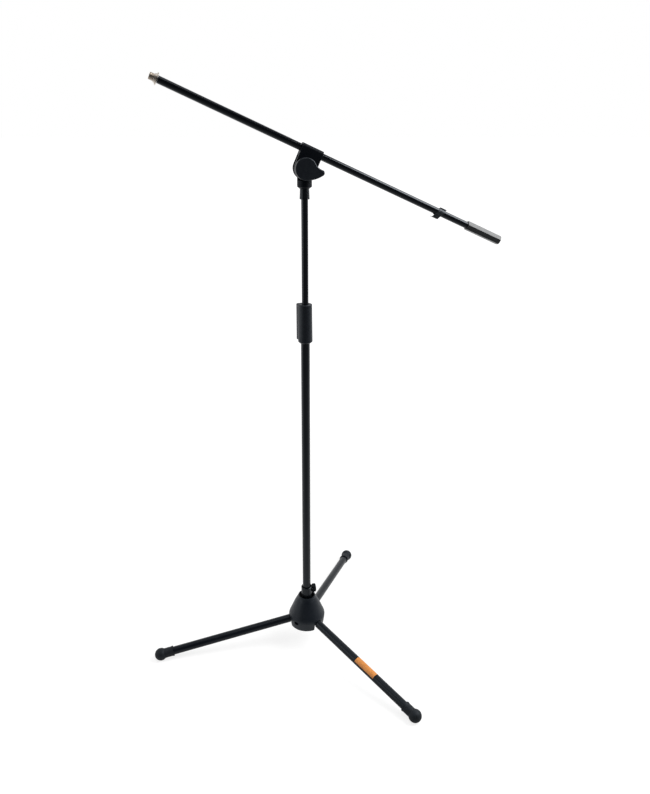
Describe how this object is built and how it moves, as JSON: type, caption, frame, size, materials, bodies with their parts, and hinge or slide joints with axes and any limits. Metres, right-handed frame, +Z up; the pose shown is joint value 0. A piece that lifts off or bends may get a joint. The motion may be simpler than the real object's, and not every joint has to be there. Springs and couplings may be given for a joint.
{
  "type": "boom microphone stand",
  "caption": "Folding tripod microphone stand with a cast bell hub, telescopic mast and a tilting, sliding boom arm with counterweight.",
  "frame": {"origin": "on the floor, on the axis of the mast", "axes": "+Z up along the mast; the boom lies in the XZ plane with its thread toward -X; -Y is the side of the wing knob"},
  "size_m": [0.9121, 0.7457, 1.4904],
  "materials": {
    "tube_enamel": "gloss black enamel",
    "cast_enamel": "satin black powder coat",
    "black_nylon": "fine matte moulded",
    "black_rubber": "matte",
    "nickel_plate": "bright nickel",
    "zinc_steel": "zinc plated",
    "black_oxide": "black oxide steel",
    "natural_nylon": "matte",
    "brown_fibre": "matte",
    "label_orange": "blank printed film"
  },
  "bodies": {
    "hub": {"hub_casting": "cast_enamel", "mast_collar": "cast_enamel", "leg_pivot_bolts": "black_oxide", "leg_pivot_nuts": "black_oxide", "hub_pressure_pad": "natural_nylon"},
    "leg_1": {"leg_1_tube": "tube_enamel", "leg_1_knuckle": "black_nylon", "leg_1_boot": "black_rubber"},
    "leg_2": {"leg_2_tube": "tube_enamel", "leg_2_knuckle": "black_nylon", "leg_2_boot": "black_rubber", "leg_label": "label_orange"},
    "leg_3": {"leg_3_tube": "tube_enamel", "leg_3_knuckle": "black_nylon", "leg_3_boot": "black_rubber"},
    "hub_screw": {"hub_knob": "black_nylon", "hub_screw_stud": "zinc_steel"},
    "mast": {"mast_stop_plug": "black_nylon", "lower_tube": "tube_enamel", "clutch_bush": "natural_nylon", "clutch_collet": "natural_nylon"},
    "grip": {"height_grip": "black_nylon", "grip_cap": "black_nylon"},
    "upper_mast": {"upper_tube": "tube_enamel", "upper_guide_bush": "natural_nylon", "neck_stud": "zinc_steel", "neck_collar": "cast_enamel", "neck_washer": "brown_fibre"},
    "swivel": {"swivel_body": "black_nylon", "friction_washers": "brown_fibre"},
    "clamp": {"boom_clamp": "black_nylon", "clamp_nut": "zinc_steel", "clamp_washer": "zinc_steel"},
    "wing_knob": {"clamp_knob": "black_nylon", "clamp_stud": "zinc_steel"},
    "boom": {"boom_tube": "tube_enamel", "tip_stud": "zinc_steel", "thread_adapter": "nickel_plate", "counterweight": "cast_enamel", "boom_end_plug": "black_nylon"},
    "clip": {"cable_clip": "black_nylon"}
  },
  "joints": [
    {"name": "leg_1_fold", "type": "hinge", "parent": "hub", "child": "leg_1", "pos_m": [-0.03599, -0.00063, 0.084], "axis": [0.0175, -0.9998, 0], "range_deg": [0, 80]},
    {"name": "leg_2_fold", "type": "hinge", "parent": "hub", "child": "leg_2", "pos_m": [0.01854, -0.03086, 0.084], "axis": [0.8572, 0.515, 0], "range_deg": [0, 80]},
    {"name": "leg_3_fold", "type": "hinge", "parent": "hub", "child": "leg_3", "pos_m": [0.01745, 0.03149, 0.084], "axis": [-0.8746, 0.4848, 0], "range_deg": [0, 80]},
    {"name": "mast_slide", "type": "slide", "parent": "hub", "child": "mast", "axis": [0, 0, 1], "range_m": [-0.28, 0]},
    {"name": "hub_screw_turn", "type": "hinge", "parent": "hub", "child": "hub_screw", "pos_m": [0, 0, 0.172], "axis": [0.9998, 0.0175, 0], "continuous": true},
    {"name": "height_grip_turn", "type": "hinge", "parent": "mast", "child": "grip", "pos_m": [0, 0, 0.94], "axis": [0, 0, 1], "range_deg": [0, 180]},
    {"name": "upper_tube_slide", "type": "slide", "parent": "mast", "child": "upper_mast", "axis": [0, 0, 1], "range_m": [-0.24, 0.4]},
    {"name": "head_swivel", "type": "hinge", "parent": "upper_mast", "child": "swivel", "pos_m": [0, 0, 1.26], "axis": [0, 0, 1], "continuous": true},
    {"name": "boom_tilt", "type": "hinge", "parent": "swivel", "child": "clamp", "pos_m": [0, 0, 1.2984], "axis": [0, 1, 0], "range_deg": [-114, 66]},
    {"name": "wing_knob_turn", "type": "hinge", "parent": "clamp", "child": "wing_knob", "pos_m": [0, -0.02, 1.2984], "axis": [0, -1, 0], "continuous": true},
    {"name": "boom_slide", "type": "slide", "parent": "clamp", "child": "boom", "axis": [-0.9135, 0, 0.4067], "range_m": [-0.32, 0.24]},
    {"name": "cable_clip_slide", "type": "slide", "parent": "boom", "child": "clip", "axis": [-0.9135, 0, 0.4067], "range_m": [-0.05, 0.05]}
  ]
}
